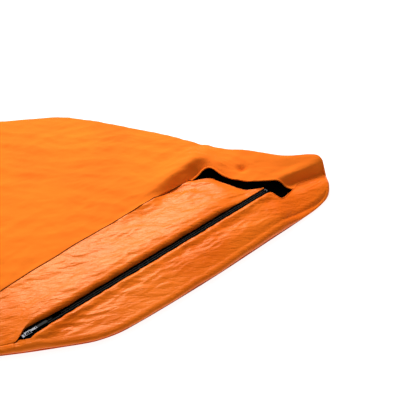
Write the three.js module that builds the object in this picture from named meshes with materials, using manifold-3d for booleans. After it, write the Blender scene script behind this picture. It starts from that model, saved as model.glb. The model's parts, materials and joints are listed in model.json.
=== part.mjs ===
// Hooded bivy sack lying empty on the ground: millimetres, +X to the hood, +Y to the sleeper's right,
// +Z up, origin on the ground at the middle of the plan.
import * as THREE from 'three';
import { mergeVertices } from 'three/addons/utils/BufferGeometryUtils.js';
import Module from 'manifold-3d';

const wasm = await Module();
wasm.setup();

// ---- driving dimensions ----
const LENGTH = 2200;
const HEAD_X = LENGTH / 2;
const FOOT_X = -LENGTH / 2;
const CLOTH = 2; // thickness that stands for a fabric layer
const GAP = 0.4; // clearance between pieces that are sewn together
const EDGE_RISE = 30; // height of the rolled side edge
const EDGE_ROLL = 24; // plan width of that roll
const CROWN = 20; // extra height of the top along the middle
const HEAD_ROUND = 36; // plan length of the rounded hood end
const FOOT_ROUND = 110; // plan length of the rounded foot end
const FOOT_CAP = 90; // length of the foot end panel
const BRIM_LIFT = 20; // extra height of the hood brim at its peak
const BRIM_PEAK = [810, 100]; // plan place where the brim lifts most
const BRIM_SPREAD = 48; // plan radius over which the brim lift fades
const SEAM_WIDTH = 8; // felled seams between two panels
const HEM_WIDTH = 9;
const CURTAIN_HEIGHT = 150; // taller than any place of the sack
const HEM_GAP = 1.6; // clearance of a hem that bends round a corner
const INSET_IN_Y = 1.15; // an inset measured along Y, because the long edges slope
const LINING_INSET = 22; // how far the dark lining stays inside the outline
const LINING_THICK = 0.8;
const FLOOR_SEAM = { inset: 12, width: 11 };

// half widths of the plan: distance along X, then the edge's Y
const FAR_EDGE = [[-1100, 280], [-400, 395], [100, 440], [300, 440], [430, 422], [645, 310],
  [830, 188], [990, 114], [1070, 96], [1100, 86]];
const NEAR_EDGE = [[-1100, -280], [-400, -390], [100, -436], [340, -440], [430, -428], [510, -395],
  [700, -291], [880, -183], [1020, -98], [1080, -50], [1100, -30]];

// the face opening: corner at the sleeper's right, hood brim, and the near lower rim
const MOUTH_CORNER = [720, 57];
const BRIM = [MOUTH_CORNER, [780, 87], [825, 36], [875, 10], [952, -1], [990, -28]];
const MOUTH_NEAR = [[990, -28], [949, -65], [926, -44]];
const LAPEL_RIM = [MOUTH_CORNER, [774, 59], [823, 26], [871, -7], [910, -16]];
const STRIP_FOOT_X = -60; // where the coated strip runs out on the near edge
const STRIP_SEAM = [MOUTH_CORNER, [540, -55], [370, -160], [100, -330], [STRIP_FOOT_X, -434]];
const HOOD_SEAM = [[990, -28], [1030, 22], [1075, 30], [1100, 26]];
const PAST_HEAD = [1140, 26]; // the hood seam's line carried on past the end
const BEYOND = { head: 1140, foot: -1200, side: 520 }; // plan limits that clear the whole sack
const BRIM_TUBE = { outer: 3, bore: 1.9, elastic: 0.9 };

// the zip runs straight from its foot end to the throat of the opening
const ZIP_FOOT = new THREE.Vector3(235, -418, 30);
const ZIP_THROAT = new THREE.Vector3(918, -30, 44);
const ZIP_TURN = 95; // distance from the zip's foot end to where the lapel folds
const ZIP_RUN_IN = 60; // length of the zip's line that parts the cloth before the zip starts
const ZIP_REACH = 34; // distance over which the cloth is held down to the zip
const FOLD_REACH = 30; // the same beside the lapel's fold
const ZIP = { gap: 1.4, coil: 3, tapeInner: 4.7, tapeOuter: 16, slot: 16.3 };
const FOLD_CLEAR = 5; // half the length of zip left free where it crosses the fold
const MOUTH_CORNER_Z = 45;
const SLIDER = { at: 16, length: 17, half: 5.5, plate: 1.5, post: 0.8, clear: 0.5 };
const BRIDGE = { foot: -5, head: 4, leg: 1.4, width: 2.4, height: 4.2, thick: 1.2 };
const PULLER = { back: 1.2, length: 26, width: 6, thick: 1.2, eye: 7.4, bar: 0.8, hole: 3.2, holeWidth: 3.4 };
const TAB = { length: 28, width: 7, thick: 1.6 };

const COLOURS = {
  matte: new THREE.MeshStandardMaterial({ color: 0xff8230, roughness: 0.8, metalness: 0 }),
  coated: new THREE.MeshStandardMaterial({ color: 0xff8a32, roughness: 0.4, metalness: 0 }),
  black: new THREE.MeshStandardMaterial({ color: 0x0c0b0b, roughness: 0.9, metalness: 0 }),
  nylon: new THREE.MeshStandardMaterial({ color: 0x151414, roughness: 0.45, metalness: 0 }),
  metal: new THREE.MeshStandardMaterial({ color: 0x2a2a2c, roughness: 0.35, metalness: 0.9 }),
};

// ---- the shape of the skin ----
const clamp = THREE.MathUtils.clamp;

/** A smooth function of X through a list of [x, y] points. */
function edgeCurve(points) {
  const xs = points.map((p) => p[0]);
  const ys = points.map((p) => p[1]);
  const curve = new THREE.CubicInterpolant(xs, ys, 1);
  return (x) => curve.evaluate(clamp(x, xs[0], xs[xs.length - 1]))[0];
}

/** Share of the full width left at x: 1 along the sack, falling to 0 at each rounded end. */
function endShare(x, inset) {
  const head = clamp((HEAD_X - inset - x) / HEAD_ROUND, 0, 1);
  const foot = clamp((x - FOOT_X - inset) / FOOT_ROUND, 0, 1);
  return Math.cbrt(1 - (1 - head) ** 3) * Math.cbrt(1 - (1 - foot) ** 3);
}

const farAt = edgeCurve(FAR_EDGE);
const nearAt = edgeCurve(NEAR_EDGE);

/** The plan's two edges at x, drawn in by inset all round. */
function edges(x, inset = 0) {
  const middle = (farAt(x) + nearAt(x)) / 2;
  const half = Math.max(((farAt(x) - nearAt(x)) / 2 - INSET_IN_Y * inset) * endShare(x, inset), 0);
  return [middle - half, middle + half];
}

const zipAxis = ZIP_THROAT.clone().sub(ZIP_FOOT).normalize();
const zipLength = ZIP_THROAT.distanceTo(ZIP_FOOT);
const foldFoot = ZIP_FOOT.clone().addScaledVector(zipAxis, ZIP_TURN);
const foldHead = new THREE.Vector3(...MOUTH_CORNER, MOUTH_CORNER_Z);
const STRAIGHT_LINES = [[ZIP_FOOT, ZIP_THROAT, ZIP_REACH], [foldFoot, foldHead, FOLD_REACH]];

/** Pulls a height towards the straight line from a to b, within about `reach` of it. */
function towardsLine(z, x, y, [a, b, reach]) {
  const along = ((x - a.x) * (b.x - a.x) + (y - a.y) * (b.y - a.y))
    / ((b.x - a.x) ** 2 + (b.y - a.y) ** 2);
  const t = clamp(along, 0, 1);
  const off = Math.hypot(x - a.x - t * (b.x - a.x), y - a.y - t * (b.y - a.y));
  const pull = Math.exp(-((off / reach) ** 2));
  return z * (1 - pull) + (a.z + t * (b.z - a.z)) * pull;
}

/** Height of the skin's outside at a place in plan. */
function skinHeight(x, y, inset = 0, brimLift = 0) {
  const [near, far] = edges(x, inset);
  const half = Math.max((far - near) / 2, 0.01);
  const across = clamp((y - (near + far) / 2) / half, -1, 1);
  const inFromEdge = clamp((1 - Math.abs(across)) * half / EDGE_ROLL, 0, 1);
  const roll = Math.sqrt(1 - (1 - inFromEdge) ** 2);
  let z = (EDGE_RISE + CROWN * (1 - across ** 2)) * roll;
  const level = roll ** 2;
  for (const line of STRAIGHT_LINES) z = z * (1 - level) + towardsLine(z, x, y, line) * level;
  const fromPeak = ((x - BRIM_PEAK[0]) ** 2 + (y - BRIM_PEAK[1]) ** 2) / BRIM_SPREAD ** 2;
  return z + brimLift * Math.exp(-fromPeak) - inset;
}

// ---- meshes and booleans ----

/** A BufferGeometry from a list of [x, y, z] points and a list of triangles. */
function meshOf(points, triangles) {
  const geometry = new THREE.BufferGeometry();
  geometry.setAttribute('position', new THREE.Float32BufferAttribute(points.flat(), 3));
  geometry.setIndex(triangles.flat());
  return geometry;
}

function toManifold(geometry) {
  const bare = geometry.clone();
  bare.deleteAttribute('normal');
  bare.deleteAttribute('uv');
  const merged = mergeVertices(bare, 1e-4);
  const index = [];
  for (let i = 0; i < merged.index.count; i += 3) {
    const [a, b, c] = [0, 1, 2].map((k) => merged.index.getX(i + k));
    if (a !== b && b !== c && c !== a) index.push(a, b, c);
  }
  return new wasm.Manifold(new wasm.Mesh({
    numProp: 3,
    vertProperties: new Float32Array(merged.attributes.position.array),
    triVerts: new Uint32Array(index),
  }));
}

function toGeometry(solid) {
  const mesh = solid.getMesh();
  const geometry = new THREE.BufferGeometry();
  geometry.setAttribute('position', new THREE.BufferAttribute(mesh.vertProperties.slice(), 3));
  geometry.setIndex(Array.from(mesh.triVerts));
  return geometry;
}

/** A bar of rectangular section swept along a path, its width level and its height upright. */
function ribbon(path, width, low, high) {
  const points = [];
  const triangles = [];
  path.forEach((p, i) => {
    const back = path[Math.max(i - 1, 0)];
    const next = path[Math.min(i + 1, path.length - 1)];
    const side = new THREE.Vector2(-(next.y - back.y), next.x - back.x).normalize();
    for (const [across, up] of [[-1, low], [1, low], [1, high], [-1, high]]) {
      const reach = across * width / 2;
      points.push([p.x + side.x * reach, p.y + side.y * reach, p.z + up]);
    }
    if (i === 0) return;
    const [a, b] = [4 * (i - 1), 4 * i];
    for (let k = 0; k < 4; k += 1) {
      const m = (k + 1) % 4;
      triangles.push([a + k, b + k, b + m], [a + k, b + m, a + m]);
    }
  });
  const last = 4 * (path.length - 1);
  triangles.push([0, 1, 2], [0, 2, 3], [last, last + 2, last + 1], [last, last + 3, last + 2]);
  const made = meshOf(points, triangles);
  if (toManifold(made).volume() < 0) {
    made.setIndex(triangles.map(([a, b, c]) => [a, c, b]).flat());
  }
  return made;
}

/** Points along a smooth plan curve, lying on the skin. */
function onSkin(plan, count, brimLift = 0) {
  const curve = new THREE.CatmullRomCurve3(plan.map(([x, y]) => new THREE.Vector3(x, y, 0)),
    false, 'centripetal');
  return curve.getSpacedPoints(count).map((p) => new THREE.Vector3(p.x, p.y,
    skinHeight(p.x, p.y, 0, brimLift)));
}

/** A point on the zip line: `along` from its foot end, `across` to the lapel's side, `up`. */
function onZip(along, across, up) {
  const side = new THREE.Vector3(-zipAxis.y, zipAxis.x, 0).normalize();
  return ZIP_FOOT.clone().addScaledVector(zipAxis, along).addScaledVector(side, across)
    .add(new THREE.Vector3(0, 0, up));
}

/** An upright prism over a closed plan outline. */
function prism(outline, low = -20, high = 200) {
  const shape = new THREE.Shape(outline.map(([x, y]) => new THREE.Vector2(x, y)));
  const geometry = new THREE.ExtrudeGeometry(shape, { depth: high - low, bevelEnabled: false });
  return toManifold(geometry.translate(0, 0, low));
}

/** An upright curtain along a plan curve, which parts the skin on either side of it. */
function curtain(path, width) {
  return toManifold(ribbon(path, width, -CURTAIN_HEIGHT, CURTAIN_HEIGHT));
}

/** Stations along X: close at the rounded ends, even along the hood and sparse to the foot. */
function stations(inset) {
  const xs = [0, 3, 15, 42, 90].map((x) => FOOT_X + inset + x);
  for (let x = FOOT_X + 170; x < 150; x += 105) xs.push(x);
  for (let x = 170; x < HEAD_X - 60; x += 42) xs.push(x);
  for (const back of [38, 20, 9, 3, 0]) xs.push(HEAD_X - inset - back);
  return xs;
}

/** The closed pillow between the ground side and the top skin, drawn in by inset all round. */
function pillow(inset, brimLift) {
  const across = 22;
  const points = [];
  const triangles = [];
  const xs = stations(inset);
  xs.forEach((x) => {
    const [near, far] = edges(x, inset);
    for (let j = 0; j <= across; j += 1) {
      const share = (1 + Math.sin(Math.PI * (j / across - 0.5))) / 2;
      const y = near + (far - near) * share;
      const rim = j === 0 || j === across || far === near;
      points.push([x, y, rim ? inset : Math.max(skinHeight(x, y, inset, brimLift), inset)]);
    }
    for (let j = 0; j <= across; j += 1) {
      const share = (1 + Math.sin(Math.PI * (j / across - 0.5))) / 2;
      points.push([x, near + (far - near) * share, inset]);
    }
  });
  const row = 2 * (across + 1);
  for (let i = 1; i < xs.length; i += 1) {
    for (let j = 0; j < across; j += 1) {
      const [a, b] = [(i - 1) * row + j, i * row + j];
      triangles.push([a, b, b + 1], [a, b + 1, a + 1]);
      const [c, d] = [a + across + 1, b + across + 1];
      triangles.push([c, d + 1, d], [c, c + 1, d + 1]);
    }
  }
  return toManifold(meshOf(points, triangles));
}

/** The plan outline drawn in by inset, as a list of points. */
function planOutline(inset) {
  const xs = stations(inset);
  const near = xs.map((x) => [x, edges(x, inset)[0]]);
  const far = xs.slice(1, -1).map((x) => [x, edges(x, inset)[1]]);
  return near.concat(far.reverse());
}

// ---- the skin, cut into its panels ----
const seamPath = onSkin(STRIP_SEAM, 24);
const hoodSeamPath = onSkin([...HOOD_SEAM, PAST_HEAD], 10);
const foldPath = [foldFoot, foldHead];
const footLine = FOOT_X + FOOT_CAP;
const footPath = [-BEYOND.side, BEYOND.side].map((y) => new THREE.Vector3(footLine, y, 0));

function smoothPlan(plan, count) {
  return onSkin(plan, count).map((p) => [p.x, p.y]);
}

const brimPlan = smoothPlan(BRIM, 20);
const lapelPlan = smoothPlan(LAPEL_RIM, 12);
const mouthHole = prism([...brimPlan, ...MOUTH_NEAR.slice(1), ...lapelPlan.slice(1).reverse()]);
const lapelHemCut = curtain(onSkin(LAPEL_RIM, 14), 2 * (HEM_WIDTH + HEM_GAP));
const nearHemCut = curtain(onSkin(MOUTH_NEAR, 8), 2 * (HEM_WIDTH + HEM_GAP));

const partings = [
  curtain(seamPath, SEAM_WIDTH + 2 * GAP),
  curtain(hoodSeamPath, SEAM_WIDTH + 2 * GAP),
  curtain(footPath, SEAM_WIDTH + 2 * GAP),
  curtain(foldPath, 2 * GAP),
];
const zipSlot = curtain([onZip(-14, 0, 0), onZip(zipLength + 20, 0, 0)], 2 * ZIP.slot);

function shell(brimLift) {
  let skin = pillow(0, brimLift).subtract(pillow(CLOTH, brimLift));
  const floorCut = prism(planOutline(CLOTH + GAP), -10, CLOTH + GAP);
  skin = skin.subtract(floorCut).subtract(mouthHole);
  for (const parting of partings) skin = skin.subtract(parting);
  return skin;
}

const plainSkin = shell(0).subtract(zipSlot);
const hoodSkin = shell(BRIM_LIFT);

const seamPlan = seamPath.map((p) => [p.x, p.y]);
const zipFar = onZip(-ZIP_RUN_IN, 0, 0);
const topRegion = prism([...seamPlan.slice().reverse(), ...brimPlan.slice(1), ...HOOD_SEAM.slice(1),
  PAST_HEAD, [BEYOND.head, BEYOND.side], [footLine, BEYOND.side], [footLine, -BEYOND.side],
  [STRIP_FOOT_X, -BEYOND.side]]);
const footRegion = prism([[footLine, -BEYOND.side], [footLine, BEYOND.side],
  [BEYOND.foot, BEYOND.side], [BEYOND.foot, -BEYOND.side]]);
const stripRegion = prism([...seamPlan, [STRIP_FOOT_X, -BEYOND.side], [zipFar.x, -BEYOND.side],
  [zipFar.x, zipFar.y], [foldFoot.x, foldFoot.y]]);
const lapelRegion = prism([[foldFoot.x, foldFoot.y], [ZIP_THROAT.x, ZIP_THROAT.y],
  ...lapelPlan.slice().reverse()]);
const nearRegion = prism([[zipFar.x, -BEYOND.side], [BEYOND.head, -BEYOND.side], PAST_HEAD,
  ...HOOD_SEAM.slice().reverse(), ...MOUTH_NEAR.slice(1), [ZIP_THROAT.x, ZIP_THROAT.y],
  [zipFar.x, zipFar.y]]);

/** The largest of the bodies that a cut left, so that slivers beside a seam are dropped. */
function mainBody(solid) {
  return solid.decompose().reduce((best, body) => (body.volume() > best.volume() ? body : best));
}

const panels = {
  top_panel: [mainBody(hoodSkin.intersect(topRegion)), COLOURS.matte],
  foot_end_panel: [mainBody(plainSkin.intersect(footRegion)), COLOURS.coated],
  side_strip: [mainBody(plainSkin.intersect(stripRegion)), COLOURS.coated],
  near_side_panel: [mainBody(plainSkin.intersect(nearRegion).subtract(nearHemCut)), COLOURS.coated],
  lapel_panel: [mainBody(plainSkin.intersect(lapelRegion).subtract(lapelHemCut)), COLOURS.coated],
};

// ---- assembly ----
const sack = new THREE.Group();
const lapel = new THREE.Group();
sack.add(lapel);

function add(name, geometry, material, parent = sack) {
  const mesh = new THREE.Mesh(geometry, material);
  mesh.name = name;
  parent.add(mesh);
  return mesh;
}

for (const [name, [solid, material]] of Object.entries(panels)) {
  add(name, toGeometry(solid), material, name === 'lapel_panel' ? lapel : sack);
}

// floor, its dark inner lining and the taped seams round it
function plate(inset, low, high) {
  return toGeometry(prism(planOutline(inset), low, high));
}
add('floor_panel', plate(CLOTH + 2 * GAP, 0, CLOTH), COLOURS.coated);
add('floor_lining', plate(LINING_INSET, CLOTH + GAP, CLOTH + GAP + LINING_THICK), COLOURS.black);
for (const [name, side] of [['floor_seam_near', 0], ['floor_seam_far', 1]]) {
  const inset = FLOOR_SEAM.inset;
  const xs = stations(inset).filter((x) => x > footLine + inset && x < HEAD_X - 40);
  const path = xs.map((x) => new THREE.Vector3(x, edges(x, inset)[side], CLOTH + GAP));
  add(name, ribbon(path, FLOOR_SEAM.width, 0, LINING_THICK), COLOURS.coated);
}

// felled seams that lie between two panels
const seamEnds = seamPath.slice(1, -3);
add('strip_seam', ribbon(seamEnds, SEAM_WIDTH, -CLOTH, 0.2), COLOURS.coated);
add('hood_seam', ribbon(hoodSeamPath.slice(1, -4), SEAM_WIDTH, -CLOTH, 0.2), COLOURS.matte);
const footSeam = [];
for (let y = -240; y <= 240; y += 60) {
  footSeam.push(new THREE.Vector3(footLine, y, skinHeight(footLine, y)));
}
add('foot_seam', ribbon(footSeam, SEAM_WIDTH, -CLOTH, 0.2), COLOURS.coated);

// hems of the face opening; the brim's hem is a tunnel that holds an elastic
function brimCurve(endTrim) {
  const into = BRIM_TUBE.outer + GAP + 0.6;
  const path = onSkin(BRIM, 26, BRIM_LIFT).map((p, i, all) => {
    const back = all[Math.max(i - 1, 0)];
    const next = all[Math.min(i + 1, all.length - 1)];
    const side = new THREE.Vector2(next.y - back.y, -(next.x - back.x)).normalize();
    return new THREE.Vector3(p.x + side.x * into, p.y + side.y * into, p.z - 1);
  });
  return new THREE.CatmullRomCurve3(path.slice(endTrim, -endTrim), false, 'centripetal');
}
function circle(radius, Kind = THREE.Shape) {
  const points = [];
  for (let k = 0; k < 8; k += 1) {
    const turn = (k / 8) * 2 * Math.PI;
    points.push(new THREE.Vector2(radius * Math.cos(turn), radius * Math.sin(turn)));
  }
  return new Kind(points);
}
const tunnel = circle(BRIM_TUBE.outer);
tunnel.holes.push(circle(BRIM_TUBE.bore, THREE.Path));
add('brim_hem', new THREE.ExtrudeGeometry(tunnel, { steps: 26, extrudePath: brimCurve(3) }),
  COLOURS.matte);
add('brim_elastic', new THREE.ExtrudeGeometry(circle(BRIM_TUBE.elastic),
  { steps: 30, extrudePath: brimCurve(2) }), COLOURS.black);

function hem(plan, count, trimStart, trimEnd) {
  return ribbon(onSkin(plan, count).slice(trimStart, count + 1 - trimEnd), HEM_WIDTH, -CLOTH, 0);
}

/** The rim's curve drawn in to the middle of its hem. */
function hemPlan(plan, count, side) {
  const path = onSkin(plan, count);
  return path.map((p, i) => {
    const back = path[Math.max(i - 1, 0)];
    const next = path[Math.min(i + 1, count)];
    const out = new THREE.Vector2(next.y - back.y, -(next.x - back.x)).normalize();
    const reach = side * (HEM_WIDTH / 2 + GAP / 2);
    return [p.x + out.x * reach, p.y + out.y * reach];
  });
}
add('lapel_hem', hem(hemPlan(LAPEL_RIM, 14, 1), 14, 3, 2), COLOURS.coated, lapel);
add('near_rim_hem', hem(hemPlan(MOUTH_NEAR, 8, -1), 8, 1, 1), COLOURS.coated);

// ---- zip: two tapes, two coils, stops, slider and puller ----
const tapeMiddle = (ZIP.tapeInner + ZIP.tapeOuter) / 2;
const tapeWidth = ZIP.tapeOuter - ZIP.tapeInner;
const coilMiddle = ZIP.gap + ZIP.coil / 2;
const STOP = 6;

/** A straight piece of the zip between two stations along it. */
function zipBar(from, to, across, width, low, high) {
  return ribbon([onZip(from, across, 0), onZip(to, across, 0)], width, low, high);
}

/** Station along the zip where the fold line crosses a strand that lies `across` from the middle. */
function foldStation(across) {
  const fold = new THREE.Vector2(foldHead.x - foldFoot.x, foldHead.y - foldFoot.y).normalize();
  const zip = new THREE.Vector2(zipAxis.x, zipAxis.y).normalize();
  const angle = fold.angle() - zip.angle();
  return ZIP_TURN + across / Math.tan(angle);
}

const tapeTurn = foldStation(ZIP.tapeOuter) + FOLD_CLEAR;
const coilTurn = foldStation(ZIP.gap + ZIP.coil) + FOLD_CLEAR;
const footTurn = foldStation(0) - FOLD_CLEAR;
const TAPE_Z = [-1.5, -0.7];
const COIL_Z = [-2.4, 0.2];

add('zip_tape_lower', zipBar(0, zipLength, -tapeMiddle, tapeWidth, ...TAPE_Z), COLOURS.black);
add('zip_coil_lower', zipBar(STOP, zipLength - STOP, -coilMiddle, ZIP.coil, ...COIL_Z), COLOURS.nylon);
add('zip_tape_foot', zipBar(0, footTurn, tapeMiddle, tapeWidth, ...TAPE_Z), COLOURS.black);
add('zip_coil_foot', zipBar(STOP, footTurn, coilMiddle, ZIP.coil, ...COIL_Z), COLOURS.nylon);
add('zip_tape_upper', zipBar(tapeTurn, zipLength, tapeMiddle, tapeWidth, ...TAPE_Z), COLOURS.black, lapel);
add('zip_coil_upper', zipBar(coilTurn, zipLength - STOP, coilMiddle, ZIP.coil, ...COIL_Z),
  COLOURS.nylon, lapel);
add('zip_foot_stop', zipBar(0, STOP - GAP, 0, 2 * (ZIP.gap + ZIP.coil), -2.6, 0.8), COLOURS.metal);
for (const [name, side, parent] of [['zip_top_stop_lower', -1, sack], ['zip_top_stop_upper', 1, lapel]]) {
  add(name, zipBar(zipLength - STOP + GAP, zipLength - 1, side * coilMiddle, ZIP.coil, -2.6, 0.8),
    COLOURS.metal, parent);
}

/** The slider: two plates joined by the post that runs between the coils, and a bridge on top. */
function sliderSolid() {
  const from = SLIDER.at - SLIDER.length / 2;
  const to = SLIDER.at + SLIDER.length / 2;
  const top = COIL_Z[1] + SLIDER.clear;
  const low = COIL_Z[0] - SLIDER.clear;
  const upperPlate = zipBar(from, to, 0, 2 * SLIDER.half, top, top + SLIDER.plate);
  const lowerPlate = zipBar(from, to, 0, 2 * SLIDER.half, low - SLIDER.plate, low);
  const post = zipBar(from + 1, to - 9, 0, 2 * SLIDER.post, low - 0.5, top + 0.5);
  let solid = toManifold(upperPlate).add(toManifold(lowerPlate)).add(toManifold(post));
  const bridgeTop = top + SLIDER.plate + BRIDGE.height;
  for (const at of [SLIDER.at + BRIDGE.foot, SLIDER.at + BRIDGE.head]) {
    const leg = zipBar(at, at + BRIDGE.leg, 0, BRIDGE.width, top + SLIDER.clear, bridgeTop);
    solid = solid.add(toManifold(leg));
  }
  const crossbar = zipBar(SLIDER.at + BRIDGE.foot, SLIDER.at + BRIDGE.head + BRIDGE.leg, 0,
    BRIDGE.width, bridgeTop - BRIDGE.thick, bridgeTop);
  return toGeometry(solid.add(toManifold(crossbar)));
}
const slider = new THREE.Group();
sack.add(slider);
add('zip_slider', sliderSolid(), COLOURS.metal, slider);

/** The puller: a plate with an eye whose front bar sits under the slider's bridge. */
const eyeZ = COIL_Z[1] + SLIDER.plate + 2 * SLIDER.clear;
function pullerSolid() {
  const start = SLIDER.at - PULLER.back;
  const plate = toManifold(zipBar(start, start + PULLER.length, 0, PULLER.width, eyeZ, eyeZ + PULLER.thick));
  const eye = zipBar(start + PULLER.bar, start + PULLER.bar + PULLER.eye, 0,
    PULLER.width - 2 * PULLER.bar, eyeZ - 1, eyeZ + 3);
  const holeEnd = start + PULLER.length - 1.4;
  const tabHole = zipBar(holeEnd - PULLER.hole, holeEnd, 0, PULLER.holeWidth, eyeZ - 1, eyeZ + 3);
  return toGeometry(plate.subtract(toManifold(eye)).subtract(toManifold(tabHole)));
}
add('zip_puller', pullerSolid(), COLOURS.metal, slider);
const tabFrom = SLIDER.at - PULLER.back + PULLER.length + GAP;
const tabLow = eyeZ - (TAB.thick - PULLER.thick) / 2;
add('puller_tab', zipBar(tabFrom, tabFrom + TAB.length, 0, TAB.width, tabLow, tabLow + TAB.thick),
  COLOURS.black, slider);

export default sack;
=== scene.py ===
"""Hooded bivy sack, lying empty on a pale floor: its cloth panels, seams, hems and zip.

Plan sizes are in millimetres, in the part's own frame: +X to the hood, +Y to the sleeper's right,
+Z up. Each panel is one ruled sheet of cloth between two plan lines. Its height comes from one
function of place, so that neighbours meet along their seams.
"""
import json
import logging
import math
from dataclasses import dataclass, field
from enum import Enum

import bpy
import bmesh
import numpy as np
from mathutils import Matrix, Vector


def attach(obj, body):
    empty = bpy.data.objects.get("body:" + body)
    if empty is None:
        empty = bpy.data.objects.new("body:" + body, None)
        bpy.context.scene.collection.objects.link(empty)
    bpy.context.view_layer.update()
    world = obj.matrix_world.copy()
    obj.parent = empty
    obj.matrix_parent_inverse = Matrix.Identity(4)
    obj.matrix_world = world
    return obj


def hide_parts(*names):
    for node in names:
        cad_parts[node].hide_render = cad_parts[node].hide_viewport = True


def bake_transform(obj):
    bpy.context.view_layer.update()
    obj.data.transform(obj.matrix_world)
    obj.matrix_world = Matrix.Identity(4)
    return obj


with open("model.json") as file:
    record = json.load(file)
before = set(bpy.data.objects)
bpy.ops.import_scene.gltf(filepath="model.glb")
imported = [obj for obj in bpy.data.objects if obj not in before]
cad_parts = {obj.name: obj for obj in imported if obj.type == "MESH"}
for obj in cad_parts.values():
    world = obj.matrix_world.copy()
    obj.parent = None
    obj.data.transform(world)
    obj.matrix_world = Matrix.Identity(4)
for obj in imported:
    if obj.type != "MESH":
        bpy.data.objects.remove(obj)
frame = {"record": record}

LOG = logging.getLogger("bivy_sack")
Array = np.ndarray
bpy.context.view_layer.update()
MM = 0.001


# ---------------------------------------------------------------- small tools

def clear_selection() -> None:
    """Leaves object mode with nothing selected."""
    if bpy.context.object and bpy.context.object.mode != "OBJECT":
        bpy.ops.object.mode_set(mode="OBJECT")
    bpy.ops.object.select_all(action="DESELECT")


def smooth(low: float, high: float, value: Array) -> Array:
    """Eases from 0 at low to 1 at high.

    Args:
        low: where the ease starts.
        high: where it ends.
        value: the values to ease.

    Returns:
        The eased share, from 0 to 1.
    """
    t = np.clip((value - low) / (high - low), 0.0, 1.0)
    return t * t * (3.0 - 2.0 * t)


def bump(distance: Array, reach: float) -> Array:
    """A bell of height 1 that has faded at about twice its reach."""
    return np.exp(-(distance / reach) ** 2)


def plan_curve(points: list, count: int) -> Array:
    """A smooth plan line through given points, evenly spaced.

    Args:
        points: the places that the line goes through.
        count: how many points to return.

    Returns:
        An array of shape (count, 2).
    """
    p = np.array(points, float)
    p = np.vstack([2 * p[0] - p[1], p, 2 * p[-1] - p[-2]])
    t = np.linspace(0, 1, 24, endpoint=False)[:, None]
    line = []
    for a, b, c, d in zip(p, p[1:], p[2:], p[3:]):
        line.append(0.5 * (2 * b + (c - a) * t + (2 * a - 5 * b + 4 * c - d) * t ** 2
                           + (3 * b - a - 3 * c + d) * t ** 3))
    line = np.vstack([*line, p[-2][None]])
    run = np.r_[0, np.cumsum(np.linalg.norm(np.diff(line, axis=0), axis=1))]
    at = np.linspace(0, run[-1], count)
    return np.column_stack([np.interp(at, run, line[:, k]) for k in range(2)])


def gradient_noise(x: Array, y: Array, seed: int) -> Array:
    """Smooth seeded noise on a plane, from about -1 to 1.

    Args:
        x: first coordinate, in cells of the noise.
        y: second coordinate, in cells of the noise.
        seed: which pattern to give.

    Returns:
        The noise at each place.
    """
    ix, iy = np.floor(x).astype(np.int64), np.floor(y).astype(np.int64)
    fx, fy = x - ix, y - iy

    def corner(cx: int, cy: int) -> Array:
        """The slope of one corner's gradient towards the place."""
        h = (ix + cx) * 374761393 + (iy + cy) * 668265263 + seed * 974634777
        h = ((h & 0xFFFFFFFF) ^ ((h & 0xFFFFFFFF) >> 13)) * 1274126177 & 0xFFFFFFFF
        angle = (h ^ (h >> 16)) * (2 * math.pi / 2 ** 32)
        return np.cos(angle) * (fx - cx) + np.sin(angle) * (fy - cy)

    u, v = fx ** 3 * (fx * (fx * 6 - 15) + 10), fy ** 3 * (fy * (fy * 6 - 15) + 10)
    low = corner(0, 0) * (1 - u) + corner(1, 0) * u
    high = corner(0, 1) * (1 - u) + corner(1, 1) * u
    return 1.5 * (low * (1 - v) + high * v)


def turned(x: Array, y: Array, degrees: float) -> tuple[Array, Array]:
    """Coordinates along and across a direction that is turned from +X."""
    c, s = math.cos(math.radians(degrees)), math.sin(math.radians(degrees))
    return x * c + y * s, y * c - x * s


@dataclass(frozen=True)
class Crease:
    """One family of folds in cloth.

    Attributes:
        heading: direction that the folds run in, in degrees from +X.
        width: distance from fold to fold, in millimetres.
        length: how much longer than wide a fold is.
        depth: height of a fold, in millimetres.
        sharp: 0 for soft waves, 1 for creases with flat sides.
        seed: which pattern to give.
    """
    heading: float
    width: float
    length: float
    depth: float
    sharp: float
    seed: int

    def height(self, x: Array, y: Array) -> Array:
        """Height of the folds at places in plan, in millimetres."""
        bend = 0.6 * gradient_noise(x / (4 * self.width), y / (4 * self.width), self.seed + 91)
        along, across = turned(x, y, self.heading)
        across = across / self.width + bend
        wave = gradient_noise(along / (self.width * self.length), across, self.seed)
        crest = 0.55 - 2.2 * np.abs(wave)
        return self.depth * ((1 - self.sharp) * wave + self.sharp * crest)


def relief(creases: tuple, x: Array, y: Array) -> Array:
    """Height of several families of folds together, in millimetres."""
    return sum(crease.height(x, y) for crease in creases)


@dataclass(frozen=True)
class Lump:
    """One soft rise in the cloth, or a dent where its height is below 0. All in millimetres."""
    x: float
    y: float
    reach_x: float
    reach_y: float
    height: float

    def at(self, x: Array, y: Array) -> Array:
        """Its height at places in plan."""
        return self.height * np.exp(-((x - self.x) / self.reach_x) ** 2
                                    - ((y - self.y) / self.reach_y) ** 2)


# Soft broad folds that run on from panel to panel.
BROAD_FOLDS = (Crease(-24, 170, 3.0, 4.5, 0.15, 11), Crease(36, 110, 2.6, 3.0, 0.25, 12))
# Narrow creases of the matte cloth.
FINE_FOLDS = (Crease(-16, 62, 3.6, 2.4, 0.7, 13), Crease(24, 48, 3.0, 1.8, 0.8, 14),
              Crease(-38, 30, 3.4, 1.1, 0.8, 15), Crease(6, 16, 3.0, 0.5, 0.8, 16))
# Crisp crinkles of the coated cloth.
COATED_FOLDS = (Crease(-10, 46, 4.0, 2.2, 0.5, 21), Crease(4, 22, 5.0, 1.2, 0.8, 22),
                Crease(20, 14, 4.0, 0.8, 0.9, 23), Crease(-6, 10, 5.0, 0.5, 0.9, 24))
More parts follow.
